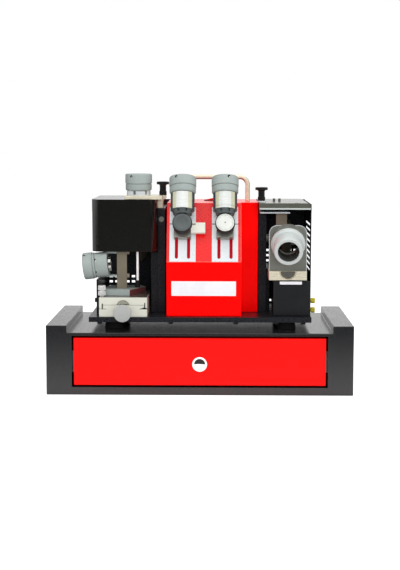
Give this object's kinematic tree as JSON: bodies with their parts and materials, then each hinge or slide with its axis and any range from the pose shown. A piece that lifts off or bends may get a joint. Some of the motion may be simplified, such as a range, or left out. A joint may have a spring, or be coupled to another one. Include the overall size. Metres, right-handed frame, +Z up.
{
  "type": "drill and end mill grinder",
  "caption": "Benchtop drill bit and end mill grinder with collet chucks, setting gauges and a dovetail cross slide, on a drawer cabinet.",
  "frame": {"origin": "centre of the cabinet's footprint, on the surface that it stands on", "axes": "+Z up, -Y towards the operator, +X to the operator's right along the cabinet's width"},
  "size_m": [0.6, 0.29, 0.43],
  "materials": {
    "cabinet_black": "hammer texture powder coat",
    "drawer_red": "fine texture powder coat",
    "housing_red": "fine texture powder coat",
    "machine_black": "satin powder coat",
    "guard_black": "gloss paint",
    "sheet_zinc": "galvanised",
    "chrome": "polished",
    "ground_steel": "ground",
    "bar_bronze": "drawn and oiled",
    "cap_grey": "bead blasted",
    "yellow_zinc": "yellow zinc plate",
    "gauge_aluminium": "brushed",
    "knob_dark": "satin",
    "knob_black": "moulded",
    "slide_cream": "ground and lacquered",
    "wheel_grit": "bonded grit",
    "motor_grey": "painted",
    "port_grey": "machined",
    "plate_olive": "machined and dulled",
    "cover_olive": "satin paint",
    "brass": "turned",
    "switch_red": "moulded",
    "rubber": "moulded",
    "dust_black": "moulded"
  },
  "bodies": {
    "frame": {"cabinet_shell": "cabinet_black", "runner_outer": "sheet_zinc", "base_plate": "machine_black", "rubber_feet": "rubber", "base_screws": "machine_black", "column_left": "machine_black", "column_right": "machine_black", "rear_panel": "machine_black", "power_inlet": "knob_black", "housing": "housing_red", "carry_handle": "yellow_zinc", "switch_body": "knob_black", "motor": "motor_grey", "motor_cradle": "machine_black", "bearings": "ground_steel", "gauge_plates": "gauge_aluminium", "gauge_sockets": "chrome", "slide_base": "slide_cream", "side_plate": "machine_black", "wheel_guard": "guard_black", "top_bracket": "yellow_zinc", "top_socket": "yellow_zinc", "top_cover": "cover_olive", "side_cover": "machine_black", "port_plate": "plate_olive", "port_block": "yellow_zinc", "thumb_screws": "brass"},
    "drawer": {"drawer_box": "sheet_zinc", "drawer_front": "drawer_red", "drawer_pull": "chrome", "runner_inner": "sheet_zinc"},
    "spindle_unit": {"spindle": "ground_steel", "wheel_left": "wheel_grit", "wheel_right": "wheel_grit", "wheel_nuts": "ground_steel"},
    "slide_screw": {"slide_knob": "ground_steel"},
    "saddle_unit": {"saddle": "slide_cream", "gib_strips": "slide_cream", "holder_block": "cap_grey", "post_bar": "bar_bronze", "guide_rod": "chrome", "side_port": "cap_grey", "lock_nuts": "chrome"},
    "chuck_left": {"chuck_body_left": "chrome"},
    "cap_left": {"chuck_cap_left": "cap_grey"},
    "chuck_right": {"chuck_body_right": "chrome"},
    "cap_right": {"chuck_cap_right": "cap_grey"},
    "chuck_top": {"chuck_body_top": "chrome"},
    "cap_top": {"chuck_cap_top": "cap_grey"},
    "chuck_side": {"chuck_body_side": "chrome"},
    "cap_side": {"chuck_cap_side": "cap_grey"},
    "gauge_left": {"gauge_slide_left": "gauge_aluminium"},
    "gauge_right": {"gauge_slide_right": "gauge_aluminium"},
    "dial_left": {"gauge_knob_left": "knob_dark"},
    "dial_right": {"gauge_knob_right": "knob_black"},
    "feed_left": {"feed_knob_left": "knob_black"},
    "feed_right": {"feed_knob_right": "knob_black"},
    "port_dial": {"port_ring": "port_grey"},
    "dust_drawer": {"dust_box": "dust_black"},
    "rocker": {"switch_rocker": "switch_red"}
  },
  "joints": [
    {"name": "drawer_slide", "type": "slide", "parent": "frame", "child": "drawer", "axis": [0, -1, 0], "range_m": [0, 0.22]},
    {"name": "spindle_spin", "type": "hinge", "parent": "frame", "child": "spindle_unit", "pos_m": [0, 0.02, 0.296], "axis": [1, 0, 0], "continuous": true},
    {"name": "slide_knob_turn", "type": "hinge", "parent": "frame", "child": "slide_screw", "pos_m": [-0.1525, -0.1, 0.157], "axis": [0, -1, 0], "range_deg": [-4320, 4320]},
    {"name": "saddle_slide", "type": "slide", "parent": "frame", "child": "saddle_unit", "axis": [0, 1, 0], "range_m": [-0.012, 0.012]},
    {"name": "chuck_left_lift", "type": "slide", "parent": "frame", "child": "chuck_left", "axis": [0, 0.342, 0.9397], "range_m": [0, 0.06]},
    {"name": "cap_left_turn", "type": "hinge", "parent": "chuck_left", "child": "cap_left", "pos_m": [-0.035, -0.07117, 0.38962], "axis": [0, 0.342, 0.9397], "range_deg": [0, 360]},
    {"name": "chuck_right_lift", "type": "slide", "parent": "frame", "child": "chuck_right", "axis": [0, 0.342, 0.9397], "range_m": [0, 0.06]},
    {"name": "cap_right_turn", "type": "hinge", "parent": "chuck_right", "child": "cap_right", "pos_m": [0.049, -0.07117, 0.38962], "axis": [0, 0.342, 0.9397], "range_deg": [0, 360]},
    {"name": "chuck_top_lift", "type": "slide", "parent": "frame", "child": "chuck_top", "axis": [0, 0, 1], "range_m": [0, 0.06]},
    {"name": "cap_top_turn", "type": "hinge", "parent": "chuck_top", "child": "cap_top", "pos_m": [-0.1245, -0.033, 0.3945], "axis": [0, 0, 1], "range_deg": [0, 360]},
    {"name": "chuck_side_pull", "type": "slide", "parent": "saddle_unit", "child": "chuck_side", "axis": [-0.9942, 0, -0.108], "range_m": [0, 0.05]},
    {"name": "cap_side_turn", "type": "hinge", "parent": "chuck_side", "child": "cap_side", "pos_m": [-0.2095, -0.055, 0.2462], "axis": [-0.9942, 0, -0.108], "range_deg": [0, 360]},
    {"name": "gauge_left_slide", "type": "slide", "parent": "frame", "child": "gauge_left", "axis": [0, -0.342, -0.9397], "range_m": [0, 0.03]},
    {"name": "dial_left_turn", "type": "hinge", "parent": "gauge_left", "child": "dial_left", "pos_m": [-0.035, -0.09442, 0.33157], "axis": [0, -0.9397, 0.342], "range_deg": [-360, 360]},
    {"name": "gauge_right_slide", "type": "slide", "parent": "frame", "child": "gauge_right", "axis": [0, -0.342, -0.9397], "range_m": [0, 0.03]},
    {"name": "dial_right_turn", "type": "hinge", "parent": "gauge_right", "child": "dial_right", "pos_m": [0.049, -0.09442, 0.33157], "axis": [0, -0.9397, 0.342], "range_deg": [-360, 360]},
    {"name": "feed_left_turn", "type": "hinge", "parent": "frame", "child": "feed_left", "pos_m": [-0.0761, -0.026, 0.386], "axis": [0, 0, 1], "range_deg": [0, 720]},
    {"name": "feed_right_turn", "type": "hinge", "parent": "frame", "child": "feed_right", "pos_m": [0.1224, -0.028, 0.376], "axis": [0, 0, 1], "range_deg": [0, 720]},
    {"name": "port_turn", "type": "hinge", "parent": "frame", "child": "port_dial", "pos_m": [0.174, -0.077, 0.2955], "axis": [0, -0.9659, -0.2588], "range_deg": [-30, 30]},
    {"name": "dust_box_slide", "type": "slide", "parent": "frame", "child": "dust_drawer", "axis": [0, -1, 0], "range_m": [0, 0.11]},
    {"name": "rocker_tilt", "type": "hinge", "parent": "frame", "child": "rocker", "pos_m": [0.023, 0.05, 0.3685], "axis": [0, 1, 0], "range_deg": [0, 12]}
  ],
  "couplings": [
    {"joint": "slide_knob_turn", "follows": "saddle_slide", "rad_per_m": 6283}
  ]
}
